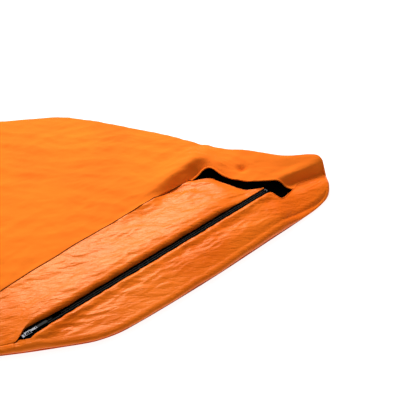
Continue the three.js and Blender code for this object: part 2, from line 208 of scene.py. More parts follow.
# Pleats that the stitching draws in beside the zip and the long seam.
ZIP_PLEATS = (Crease(90, 14, 5.0, 2.6, 0.8, 31), Crease(90, 7, 4.0, 1.2, 0.8, 32))
SEAM_PLEATS = (Crease(90, 19, 6.0, 6.4, 0.8, 41), Crease(90, 8, 5.0, 1.2, 0.8, 42))
# Faint waves of the floor and the lining.
FLOOR_WAVES = Crease(-14, 60, 3.0, 0.125, 0.2, 61)
# The brim's peak and its long low rise, and the dent in the hood behind it.
BRIM_LUMPS = (Lump(800, 92, 42, 46, 12), Lump(920, 30, 70, 40, 5), Lump(872, 66, 13, 13, -12))


# ---------------------------------------------------------------- plan and skin

class Edge(Enum):
    """The two long edges of the sack."""
    NEAR = -1
    FAR = 1


@dataclass(frozen=True)
class Plan:
    """Lines of the sack in plan, in millimetres.

    Attributes:
        head, foot: X of the two ends.
        head_round, foot_round: length over which each end is rounded.
        foot_cap: width of the panel that closes the foot end.
        far, near: the long edges.
        seam: the seam between the matte top and the coated strip.
        brim, near_rim, lapel_rim: the three sides of the face opening.
        hood_seam: the seam from the opening's end to the hood's end.
        zip_foot, zip_throat: the two ends of the zip, with their heights.
        tape_half, coil_half, gap_half: distances across the zip from its line.
    """
    head: float = 1108.0
    foot: float = -1100.0
    head_round: float = 36.0
    foot_round: float = 110.0
    foot_cap: float = 90.0
    far: tuple = ((-1100, 280), (-400, 397), (100, 446), (300, 446), (430, 428), (645, 316),
                  (830, 189), (990, 102), (1070, 83), (1108, 75))
    near: tuple = ((-1100, -280), (-400, -392), (100, -441), (340, -448), (430, -440),
                   (510, -407), (700, -303), (880, -195), (1020, -109), (1085, -58), (1108, -30))
    seam: tuple = ((-60, -434), (100, -330), (370, -160), (540, -55), (720, 57))
    brim: tuple = ((720, 57), (777, 92), (822, 47), (873, 17), (952, 5), (1000, -20))
    near_rim: tuple = ((926, -48), (949, -68), (975, -46), (1000, -20))
    lapel_rim: tuple = ((720, 57), (782, 44), (812, 24), (846, -5), (880, -20), (912, -23))
    hood_seam: tuple = ((1000, -20), (1014, -2), (1044, 10), (1090, 22.5), (1108, 22.5))
    zip_foot: tuple = (235, -418, 30)
    zip_throat: tuple = (918, -30, 44)
    tape_half: float = 16.0
    coil_half: float = 4.4
    gap_half: float = 1.4

    @property
    def corner(self) -> float:
        """X of the face opening's wide corner, where the long seam ends."""
        return self.seam[-1][0]

    @property
    def mouth_end(self) -> float:
        """X of the face opening's narrow end."""
        return self.brim[-1][0]

    def spread(self, edge: Edge, x: Array) -> Array:
        """Y of one long edge at x."""
        line = plan_curve(list(self.far if edge is Edge.FAR else self.near), 600)
        return np.interp(x, line[:, 0], line[:, 1])

    def outline(self, edge: Edge, x: Array) -> Array:
        """Points of the outline at x, with both ends rounded.

        Args:
            edge: which long edge.
            x: stations along the sack.

        Returns:
            An array of shape (len(x), 2).
        """
        far, near = self.spread(Edge.FAR, x), self.spread(Edge.NEAR, x)
        head = np.clip((self.head - x) / self.head_round, 0, 1)
        foot = np.clip((x - self.foot) / self.foot_round, 0, 1)
        share = np.cbrt(1 - (1 - head) ** 3) * np.cbrt(1 - (1 - foot) ** 3)
        half = (far - near) / 2 * share
        return np.column_stack([x, (far + near) / 2 + edge.value * half])

    def zip_axes(self) -> tuple[Array, Array, float]:
        """The zip's direction, its level sideways direction to the lapel, and its length."""
        run = np.subtract(self.zip_throat, self.zip_foot)
        length = float(np.linalg.norm(run))
        side = np.array([-run[1], run[0], 0]) / math.hypot(run[0], run[1])
        return run / length, side, length

    def on_zip(self, along: float, across: float, up: float) -> Array:
        """A place on the zip, in millimetres."""
        run, side, _ = self.zip_axes()
        return np.array(self.zip_foot) + run * along + side * across + np.array([0, 0, up])


@dataclass
class Skin:
    """Height of the cloth over the plan, in millimetres.

    Attributes:
        plan: the sack's plan lines.
        roll: plan width of the rolled long edges.
        rise: height of the cloth just inside a rolled edge.
        crown: extra height along the middle.
        far_lift: extra height along the far edge, where the cloth is fuller.
        hood_lift: extra height along the hood's far edge.
        near_drop: how much lower the cloth lies along the near edge.
    """
    plan: Plan = field(default_factory=Plan)
    roll: float = 18.0
    rise: float = 31.0
    crown: float = 19.0
    far_lift: float = 14.0
    hood_lift: float = 18.0
    near_drop: float = 11.0

    def zip_place(self, x: Array, y: Array) -> tuple[Array, Array]:
        """Distance along the zip line, and across it towards the lapel."""
        run, side, _ = self.plan.zip_axes()
        level = run[:2] / np.linalg.norm(run[:2])
        dx, dy = x - self.plan.zip_foot[0], y - self.plan.zip_foot[1]
        return dx * level[0] + dy * level[1], dx * side[0] + dy * side[1]

    def zip_height(self, along: Array) -> Array:
        """Height of the zip at a distance along it."""
        length = self.plan.zip_axes()[2]
        low, high = self.plan.zip_foot[2], self.plan.zip_throat[2]
        return low + (high - low) * np.clip(along / length, 0, 1.1)

    def line_gap(self, x: Array, y: Array, line: list) -> Array:
        """Signed distance in Y from a plan line that runs along X, made square to its slope."""
        p = plan_curve(list(line), 60)
        slope = np.interp(x, p[:, 0], np.gradient(p[:, 1], p[:, 0]))
        return (y - np.interp(x, p[:, 0], p[:, 1])) / np.sqrt(1 + slope ** 2)

    def roll_at(self, x: Array) -> Array:
        """Plan width of the edge's roll at x, tighter round the hood's end."""
        return self.roll * (1 - 0.5 * smooth(self.plan.head - 120, self.plan.head - 45, x))

    def mouth_gap(self, x: Array, y: Array) -> Array:
        """Signed distance from the long seam, and from the brim beyond the mouth's corner."""
        return np.where(x < self.plan.corner, self.line_gap(x, y, self.plan.seam),
                        self.line_gap(x, y, self.plan.brim))

    def base(self, x: Array, y: Array) -> Array:
        """Height of the smooth form: the crowned body, and the valley that holds the zip."""
        far, near = self.plan.spread(Edge.FAR, x), self.plan.spread(Edge.NEAR, x)
        across = np.clip((y - (far + near) / 2) / ((far - near) / 2), -1, 1)
        z = self.rise + self.crown * (1 - across ** 2) * smooth(self.plan.foot, -900, x)
        z += self.far_lift * smooth(0.3, 1.0, across)
        z -= 8 * bump(self.mouth_gap(x, y), 28) * bump(np.maximum(np.abs(x - 718) - 15, 0), 80)
        on_hood = smooth(800, 930, x)
        z += (self.hood_lift * smooth(0.1, 1.0, across) - 5 * (1 - across ** 2)) * on_hood
        z -= self.near_drop * smooth(0.7, 1.0, -across)
        s, n = self.zip_place(x, y)
        held = bump(n, 40) * smooth(-60, 20, s) * (1 - smooth(770, 850, s))
        return z * (1 - held) + self.zip_height(s) * held

    def brim_form(self, x: Array, y: Array) -> Array:
        """The lift of the hood's brim, and the shoulder of matte cloth beside the mouth's corner."""
        q = self.mouth_gap(x, y)
        t = np.clip(q / 24, 0, 1.2)
        shoulder = (t - np.maximum(t - 0.8, 0) ** 2 / 0.8) * bump(np.maximum(q - 29, 0), 46)
        shoulder *= bump(np.maximum(np.abs(x - 716) - 22, 0), np.where(x < 716, 80, 56))
        return 26 * shoulder + sum(lump.at(x, y) for lump in BRIM_LUMPS)

    def hood_form(self, x: Array, y: Array) -> Array:
        """The ridge round the hood's far side and the valley below it."""
        fade = smooth(925, 1000, x)
        w = y - (-4 + (x - 998) * 0.3)
        return fade * (5 * bump(w - 26, 16) - 20 * (1 - smooth(0, 22, w)) + 4 * bump(w + 45, 26))

    def lapel_form(self, x: Array, y: Array) -> Array:
        """The strip beside the zip, which stands up and rolls over along its edge."""
        s, n = self.zip_place(x, y)
        crest = 11 * bump(np.maximum(n - 32, 0), 34) * smooth(-40, 60, s) * (1 - smooth(600, 740, s))
        rim = y - self.along_line(self.plan.lapel_rim, x)
        dip = 7 * bump(rim, 22) * smooth(770, 830, x) * smooth(18, 44, n)
        return np.where(n > 0, crest, 0) - dip

    def broad_folds(self, x: Array, y: Array) -> Array:
        """The folds that both panels share, less of them on the narrow hood."""
        return relief(BROAD_FOLDS, x, y) * self.far_calm(x)

    def zip_pucker(self, x: Array, y: Array) -> Array:
        """Pleats that the zip's stitching draws into the cloth on either side."""
        s, n = self.zip_place(x, y)
        below = np.where(n < 0, 1.0, 0.0)
        reach = np.abs(n) - self.plan.tape_half
        lean = s - 0.35 * reach * below
        sides = below * bump(reach, 34) + 0.35 * (1 - below) * bump(reach, 22)
        return relief(ZIP_PLEATS, reach * 0.2, lean) * sides * (1 - smooth(790, 850, s))

    def seam_pucker(self, x: Array, y: Array) -> Array:
        """Pleats that start at the long seam and run on into the coated strip."""
        q = self.line_gap(x, y, self.plan.seam)
        below = np.where(q < 0, 1.0, 0.0)
        reach = np.abs(q)
        run = x * 0.85 + 0.8 * q * below
        strong = smooth(430, 600, x) * below * bump(reach, 60)
        return relief(SEAM_PLEATS, reach * 0.2, run) * (
            strong + 0.3 * bump(reach, 12)) * (1 - smooth(730, 800, x))

    def held_flat(self, x: Array, y: Array) -> Array:
        """1 on open cloth, falling towards 0 at the zip, where the tape holds it."""
        s, n = self.zip_place(x, y)
        near_zip = bump(np.abs(n) - self.plan.tape_half, 8) * smooth(-30, 0, s)
        return 1 - 0.7 * near_zip * (1 - smooth(780, 800, s))

    def matte(self, x: Array, y: Array) -> Array:
        """Height of the matte top panel and hood."""
        z = self.base(x, y) + self.brim_form(x, y) + self.hood_form(x, y) + self.broad_folds(x, y)
        q = self.line_gap(x, y, self.plan.seam)
        open_cloth = (1 - bump(q, 9)) * (1 - self.beside_hood(x, y)) * self.far_calm(x)
        return z + relief(FINE_FOLDS, x, y) * open_cloth + self.seam_pucker(x, y)

    def beside_hood(self, x: Array, y: Array) -> Array:
        """1 along the hood's end seam, where both panels share their height."""
        return bump(self.line_gap(x, y, self.plan.hood_seam), 12) * smooth(985, 1000, x)

    def far_calm(self, x: Array) -> Array:
        """Share of the broad folds left on the narrow hood."""
        return 1 - 0.55 * smooth(820, 1000, x)

    def strip(self, x: Array, y: Array) -> Array:
        """Height of the coated strip between the matte top and the zip."""
        z = self.base(x, y) + self.lapel_form(x, y) + self.seam_pucker(x, y)
        q = self.line_gap(x, y, self.plan.seam)
        z += self.broad_folds(x, y) * bump(q, 60)
        open_cloth = self.held_flat(x, y) * (1 - bump(q, 9) * (1 - smooth(700, 730, x)))
        return z + relief(COATED_FOLDS, x, y) * open_cloth + self.zip_pucker(x, y)

    def side(self, x: Array, y: Array) -> Array:
        """Height of the coated near side panel."""
        s, n = self.zip_place(x, y)
        lip = 8 * bump(n + 22, 12) * smooth(0, 40, s) * (1 - smooth(760, 800, s))
        calm = 0.35 + 0.65 * smooth(-110, -50, n)
        z = self.base(x, y) + self.hood_form(x, y) + lip + self.zip_pucker(x, y)
        beside_hood = self.beside_hood(x, y)
        z += self.broad_folds(x, y) * beside_hood + self.brim_form(x, y) * smooth(985, 1000, x)
        return z + relief(COATED_FOLDS, x, y) * self.held_flat(x, y) * calm * (1 - beside_hood)

    def near_inner(self, x: Array) -> Array:
        """Y where the near edge's roll begins."""
        return self.plan.outline(Edge.NEAR, x)[:, 1] + self.roll

    def zip_edge(self, x: Array, half: float, side: int) -> Array:
        """Y of a line beside the zip, which closes onto the zip line beyond its foot end.

        Args:
            x: stations along the sack.
            half: distance from the zip line.
            side: 1 for the lapel's side, -1 for the near side.

        Returns:
            Y at each station.
        """
        run = self.plan.zip_axes()[0]
        slope = run[1] / run[0]
        open_share = smooth(-18, 25, (x - self.plan.zip_foot[0]) * math.hypot(1, slope))
        middle = self.plan.zip_foot[1] + (x - self.plan.zip_foot[0]) * slope
        return middle + side * (0.6 + (half - 0.6) * open_share) * math.hypot(1, slope)

    def along_line(self, line: tuple, x: Array) -> Array:
        """Y of a plan line at x; the line runs one way along X."""
        p = plan_curve(list(line), 400)
        return np.interp(x, p[:, 0], p[:, 1])


# ---------------------------------------------------------------- meshes

Grid = np.ndarray  # places of shape (stations, across, 3), in millimetres


def ruled(low: Array, high: Array, across: int, height) -> Grid:
    """A sheet of cloth stretched between two plan lines.

    Args:
        low: plan points of the near line.
        high: plan points of the far line, one for each of the near line's.
        across: how many points lie across the sheet.
        height: function of plan places that gives their height.

    Returns:
        The sheet's grid.
    """
    share = np.linspace(0, 1, across)[None, :, None]
    plan = low[:, None] * (1 - share) + high[:, None] * share
    x, y = plan[..., 0], plan[..., 1]
    z = height(x.ravel(), y.ravel()).reshape(x.shape)
    return np.dstack([x, y, z])


def rolled(inner: Array, out: Array, radius: Array, foot: Array,
           turn: float, steps: int) -> Grid:
    """Cloth that rolls over an edge and under it.

    Args:
        inner: the line of places where the roll starts, shape (n, 3).
        out: level outward direction at each place, shape (n, 2).
        radius: plan width of the roll at each place.
        foot: height that a half turn would reach at each place.
        turn: how far the cloth turns, in radians.
        steps: points over the turn.

    Returns:
        The roll's grid, from the inner line outwards and under.
    """
    phi = np.linspace(0, turn, steps)[None, :]
    reach = radius[:, None] * np.sin(phi)
    half = (inner[:, 2] - foot)[:, None] / 2
    return np.dstack([inner[:, 0:1] + out[:, 0:1] * reach, inner[:, 1:2] + out[:, 1:2] * reach,
                      foot[:, None] + half * (1 + np.cos(phi))])


def draped(inner: Array, out: Array, radius: Array, foot: Array,
           steps: int) -> Grid:
    """Cloth that falls over an edge in a quarter turn, with a short hem turned in under it.

    The arguments and the grid are as for rolled, and foot is the height of the hem.
    """
    phi = np.linspace(0, math.pi / 2, steps)[None, :]
    reach = radius[:, None] * np.sin(phi)
    z = foot[:, None] + (inner[:, 2] - foot)[:, None] * np.cos(phi)
    hem = np.array([[0.7, 3.5]])
    reach = np.hstack([reach, np.maximum(reach[:, -1:] - hem, 0)])
    z = np.hstack([z, z[:, -1:] + np.array([[-0.3, -0.2]])])
    return np.dstack([inner[:, 0:1] + out[:, 0:1] * reach, inner[:, 1:2] + out[:, 1:2] * reach, z])


def swept(path: Array, profile: Array) -> tuple[list, list]:
    """A bar of one profile along a path, with its ends closed.

    Args:
        path: places along the bar, in millimetres.
        profile: points (across, up) of its section, in order round it.

    Returns:
        Vertices and faces.
    """
    run = np.gradient(path, axis=0)
    side = np.column_stack([-run[:, 1], run[:, 0], np.zeros(len(run))])
    side /= np.linalg.norm(side, axis=1)[:, None]
    up = np.cross(run, side)
    up /= np.linalg.norm(up, axis=1)[:, None]
    rings = path[:, None] + side[:, None] * profile[None, :, :1] + up[:, None] * profile[None, :, 1:]
    n, m = rings.shape[:2]
    faces = [(i * m + j, (i + 1) * m + j, (i + 1) * m + (j + 1) % m, i * m + (j + 1) % m)
             for i in range(n - 1) for j in range(m)]
    faces += [tuple(range(m)), tuple(range((n - 1) * m, n * m))[::-1]]
    return rings.reshape(-1, 3).tolist(), faces


def oval(width: float, height: float, count: int) -> Array:
    """Section of a soft flat bar."""
    a = np.linspace(0, 2 * math.pi, count, endpoint=False)
    return np.column_stack([-width / 2 * np.cos(a), height / 2 * np.sin(a)])


def new_object(name: str, vertices: list, faces: list) -> bpy.types.Object:
    """A mesh object from places in millimetres, merged and facing outwards.

    Args:
        name: the piece's name.
        vertices: places in millimetres.
        faces: faces as lists of vertex numbers.

    Returns:
        The new object, selected and active.
    """
    mesh = bpy.data.meshes.new(name)
    mesh.from_pydata((np.array(vertices) * MM).tolist(), [], faces)
    work = bmesh.new()
    work.from_mesh(mesh)
    bmesh.ops.remove_doubles(work, verts=work.verts, dist=0.00004)
    bmesh.ops.dissolve_degenerate(work, edges=work.edges, dist=0.00001)
    bmesh.ops.recalc_face_normals(work, faces=work.faces)
    work.to_mesh(mesh)
    work.free()
    mesh.shade_smooth()
    made = bpy.data.objects.new(name, mesh)
    bpy.context.collection.objects.link(made)
    clear_selection()
    made.select_set(True)
    bpy.context.view_layer.objects.active = made
    return made


def cloth_object(name: str, grids: list[Grid], thick: float) -> bpy.types.Object:
    """A sheet of cloth from grids that share their edges, given its thickness inwards.

    Args:
        name: the piece's name.
        grids: the sheet's grids.
        thick: the cloth's thickness in millimetres.

    Returns:
        The finished object. Its inner face takes its second material.
    """
    vertices, faces = [], []
    for grid in grids:
        n, m = grid.shape[:2]
        start = len(vertices)
        vertices += grid.reshape(-1, 3).tolist()
        faces += [(start + i * m + j, start + (i + 1) * m + j, start + (i + 1) * m + j + 1,
                   start + i * m + j + 1) for i in range(n - 1) for j in range(m - 1)]
    made = new_object(name, vertices, faces)
    mesh = made.data
    if sum(p.normal.z * p.area for p in mesh.polygons) < 0:
        mesh.flip_normals()
    wall = made.modifiers.new("wall", "SOLIDIFY")
    wall.thickness = thick * MM
    wall.offset = -1
    # The inner face takes the second material, which on the panels is the back darkened as painted shade.
    wall.material_offset = 1
    bpy.ops.object.modifier_apply(modifier=wall.name)
    return made


def outward(points: Array) -> Array:
    """Level direction to the right of a plan line, at each of its points."""
    run = np.gradient(points[:, :2], axis=0)
    out = np.column_stack([run[:, 1], -run[:, 0]])
    return out / np.linalg.norm(out, axis=1)[:, None]


# ---------------------------------------------------------------- finishes

def linear(colour: str) -> tuple[float, float, float, float]:
    """An sRGB hex colour as linear values."""
    parts = [int(colour[i:i + 2], 16) / 255 for i in (1, 3, 5)]
    return (*[c / 12.92 if c <= 0.04045 else ((c + 0.055) / 1.055) ** 2.4 for c in parts], 1.0)


def feed(tree: bpy.types.NodeTree, target: bpy.types.Node, inputs: dict) -> None:
    """Links a node's inputs, by name or number, to output sockets, or gives them values."""
    for key, source in inputs.items():
        if isinstance(source, bpy.types.NodeSocket):
            tree.links.new(source, target.inputs[key])
        else:
            target.inputs[key].default_value = source


def node(tree: bpy.types.NodeTree, kind: str, inputs: dict | None = None,
         **settings) -> bpy.types.Node:
    """Adds a node.

    Args:
        tree: the material's node tree.
        kind: the node's type name.
        inputs: what its inputs take, as for feed.
        settings: attributes of the node itself.

    Returns:
        The new node.
    """
    made = tree.nodes.new(kind)
    for key, value in settings.items():
        setattr(made, key, value)
    feed(tree, made, inputs or {})
    return made


def new_material(name: str) -> tuple[bpy.types.Material, bpy.types.NodeTree, bpy.types.Node]:
    """An empty material with a shader on its output."""
    made = bpy.data.materials.new(name)
    made.use_nodes = True
    tree = made.node_tree
    tree.nodes.clear()
    shader = node(tree, "ShaderNodeBsdfPrincipled")
    node(tree, "ShaderNodeOutputMaterial", {"Surface": shader.outputs["BSDF"]})
    return made, tree, shader


@dataclass(frozen=True)
class Cloth:
    """A woven nylon, plain or coated.

    Attributes:
        name: what the cloth is.
        lit: the lighter of its two tones, mixed at random with the other by a noise.
        deep: the darker of its two tones.
        roughness: how matte it is.
        sheen: strength of the soft sheen of its fibres.
        crinkle: depth of the fine creases, in millimetres.
        crinkle_width: distance from crease to crease, in millimetres.
        weave: thread spacing drawn, in millimetres: coarser than the real 0.2 so that it shows.
        gloss: strength of the surface reflection, where 0.5 is bare nylon.
    """
    name: str
    lit: str
    deep: str
    roughness: float
    sheen: float
    crinkle: float
    crinkle_width: float
    weave: float = 1.1
    gloss: float = 0.3

    def build(self) -> bpy.types.Material:
        """Makes the material."""
        made, tree, shader = new_material(self.name)
        place = node(tree, "ShaderNodeTexCoord").outputs["Object"]
        tint = node(tree, "ShaderNodeTexNoise",
                    {"Vector": place, "Scale": 5.0, "Detail": 3.0, "Roughness": 0.55})
        spread = node(tree, "ShaderNodeMapRange",
                      {"Value": tint.outputs["Fac"], "From Min": 0.36, "From Max": 0.6})
        colour = node(tree, "ShaderNodeMix", {"Factor": spread.outputs["Result"],
                                              6: linear(self.deep), 7: linear(self.lit)},
                      data_type="RGBA")
        lie = node(tree, "ShaderNodeMapping", {"Vector": place, "Rotation": (0, 0, 0.12),
                                               "Scale": (0.24, 1, 1)})
        drift = node(tree, "ShaderNodeTexNoise",
                     {"Vector": lie.outputs["Vector"], "Scale": 700 / self.crinkle_width})
        bent = node(tree, "ShaderNodeVectorMath",
                    {0: drift.outputs["Color"], 1: (self.crinkle_width * MM,) * 3},
                    operation="MULTIPLY")
        moved = node(tree, "ShaderNodeVectorMath",
                     {0: lie.outputs["Vector"], 1: bent.outputs["Vector"]})
        net = node(tree, "ShaderNodeTexVoronoi",
                   {"Vector": moved.outputs["Vector"], "Scale": 1000 / self.crinkle_width},
                   feature="DISTANCE_TO_EDGE")
        line = node(tree, "ShaderNodeMapRange",
                    {"Value": net.outputs["Distance"], "From Max": 0.12, "To Max": 0.18},
                    interpolation_type="SMOOTHSTEP")
        rumple = node(tree, "ShaderNodeTexNoise",
                      {"Vector": lie.outputs["Vector"], "Scale": 1600 / self.crinkle_width,
                       "Detail": 4.0, "Roughness": 0.6})
        relief = node(tree, "ShaderNodeMath", {0: line.outputs["Result"], 1: rumple.outputs["Fac"]},
                      operation="ADD")
        soft = node(tree, "ShaderNodeBump", {"Height": relief.outputs[0], "Strength": 0.9,
                                             "Distance": self.crinkle * MM * 6})
        turn = 2000 * math.pi / self.weave / 20
        warp, weft = (node(tree, "ShaderNodeTexWave",
                           {"Vector": place, "Scale": turn, "Distortion": 0.4},
                           bands_direction=axis) for axis in "XY")
        threads = node(tree, "ShaderNodeMath", {0: warp.outputs["Fac"], 1: weft.outputs["Fac"]},
                       operation="ADD")
        fine = node(tree, "ShaderNodeBump", {"Height": threads.outputs[0], "Strength": 0.10,
                                             "Distance": 0.00012, "Normal": soft.outputs["Normal"]})
        feed(tree, shader, {
            "Base Color": colour.outputs[2], "Normal": fine.outputs["Normal"],
            "Roughness": self.roughness, "Sheen Weight": self.sheen, "Sheen Roughness": 0.45,
            "IOR": 1.45,
            "Specular IOR Level": self.gloss, "Specular Tint": (1.0, 0.58, 0.24, 1)})
        return made


@dataclass(frozen=True)
class Plain:
    """A finish of one colour with a fine grain: webbing, nylon coil or enamelled metal.

    Attributes:
        name: what it is made of.
        colour: its colour.
        roughness: how matte it is.
        metallic: 1 for bare metal.
        grain: size of the grain in millimetres.
        depth: depth of the grain in millimetres.
        gloss: strength of the surface reflection.
    """
    name: str
    colour: str
    roughness: float
    metallic: float
    grain: float
    depth: float
    gloss: float = 0.5

    def build(self) -> bpy.types.Material:
        """Makes the material."""
        made, tree, shader = new_material(self.name)
        place = node(tree, "ShaderNodeTexCoord").outputs["Object"]
        grain = node(tree, "ShaderNodeTexNoise",
                     {"Vector": place, "Scale": 1000 / self.grain, "Detail": 2.0})
        lift = node(tree, "ShaderNodeBump", {"Height": grain.outputs["Fac"], "Strength": 0.6,
                                             "Distance": self.depth * MM})
        wear = node(tree, "ShaderNodeMapRange",
                    {"Value": grain.outputs["Fac"], "To Min": self.roughness - 0.06,
                     "To Max": self.roughness + 0.06})
        feed(tree, shader, {
            "Normal": lift.outputs["Normal"], "Roughness": wear.outputs["Result"],
            "Base Color": linear(self.colour), "Metallic": self.metallic,
            "Specular IOR Level": self.gloss})
        return made


# Uncoated face: flat bright orange, with no gloss and hardly any crease.
MATTE = Cloth("matte ripstop nylon", "#F97A1C", "#F5721A", 0.8, 0.0, 0.10, 30, gloss=0.12)
# The back of the same cloth: duller, and darker as painted shade of the sack's inside, which shows
# through the mouth.
MATTE_BACK_SHADED = Cloth("matte nylon back with painted shade", "#C8651F", "#B85A1A", 0.85, 0.1, 0.05, 30)
# Coated face: a wet looking sheen that breaks up over small crisp crinkles.
COATED = Cloth("polyurethane coated nylon", "#F97616", "#F0680A", 0.36, 0.0, 0.28, 16, gloss=0.3)
# The coating's back: plain cloth without the sheen, darkened as painted shade of the sack's inside.
COATED_BACK_SHADED = Cloth("coated nylon back with painted shade", "#B4581A", "#A85016", 0.6, 0.0, 0.05, 30)
# Painted shade: a near-black sheet over the floor, so that the mouth reads as a deep black hole.
PAINTED_SHADE_LINING = Cloth("black sheet as painted shade", "#0B0A0A", "#060505", 0.95, 0.0, 0.05, 30)
# A thin dark brown line where two panels meet: brown thread, darkened further as a painted shadow along
# the seam.
SEAM_THREAD_AND_SHADOW = Plain("brown thread with painted seam shadow", "#6A2A08", 0.9, 0.0, 1.2, 0.15, gloss=0.05)
# A faintly glossy band on the floor's seams.
SEAM_TAPE = Plain("bonded seam tape", "#D8752C", 0.35, 0.0, 2.0, 0.03)
# Black braid at the two ends of the brim's tunnel.
ELASTIC = Plain("braided elastic", "#141312", 0.85, 0.0, 0.8, 0.1)
# The black band beside the lapel, with the dull grain of its weave: black tape, deepened to near pure
# black as painted shade of the valley that it lies in.
ZIP_TAPE_AND_SHADE = Plain("black zip tape with painted shade", "#040404", 0.95, 0.0, 0.7, 0.12, gloss=0.03)
# Teeth a little glossier than the tape, so that the coil can be told from it; their near pure black is
# partly painted shade of the zip's valley.
ZIP_COIL_AND_SHADE = Plain("black zip coil with painted shade", "#0A0A0A", 0.5, 0.0, 0.5, 0.02, gloss=0.2)
# Dark metal with a soft highlight on the slider, puller and stops.
ZIP_METAL = Plain("black enamelled zinc", "#3A3A3D", 0.35, 0.8, 0.4, 0.01)
# A dull woven loop on the puller.
WEBBING = Plain("black woven pull tape", "#1C1B1B", 0.85, 0.0, 0.7, 0.12)


def dress(made: bpy.types.Object, *finishes) -> None:
    """Gives an object its materials, in order of their slots."""
    made.data.materials.clear()
    for finish in finishes:
        made.data.materials.append(bpy.data.materials.get(finish.name) or finish.build())


# ---------------------------------------------------------------- the sack's sub-assemblies

ACROSS_FOLD = "across_fold"  # rides on no body: its transform is baked where it stands


def across_fold(made: bpy.types.Object, plan: Plan) -> None:
    """Bakes a finished piece's transform into its mesh; it works out the lapel fold's axis and side but
    does nothing with them.
    """
    fold = next(j for j in frame["record"]["behaviour"]["joints"] if j["name"] == "lapel_fold")
    axis, at = Vector(fold["axis"]), Vector(fold["pos_m"])
    off = Vector((0, 0, 1)).cross(axis).normalized()
    if off.dot(Vector(plan.zip_throat) * MM - at) < 0:
        off = -off
    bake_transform(made)


def settle(made: bpy.types.Object, plan: Plan, body: str, slot: str, finishes: tuple,
           *stands_for: str) -> None:
    """Dresses a finished piece, and says what it rides on and what it stands for.

    Args:
        made: the piece.
        plan: the sack's plan lines.
        body: the body that it rides on, or ACROSS_FOLD.
        slot: not used.
        finishes: its finishes, in order of their slots.
        stands_for: the nodes that it replaces.
    """
    dress(made, *finishes)
    if body == ACROSS_FOLD:
        across_fold(made, plan)
    else:
        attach(made, body)
    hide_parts(*stands_for)


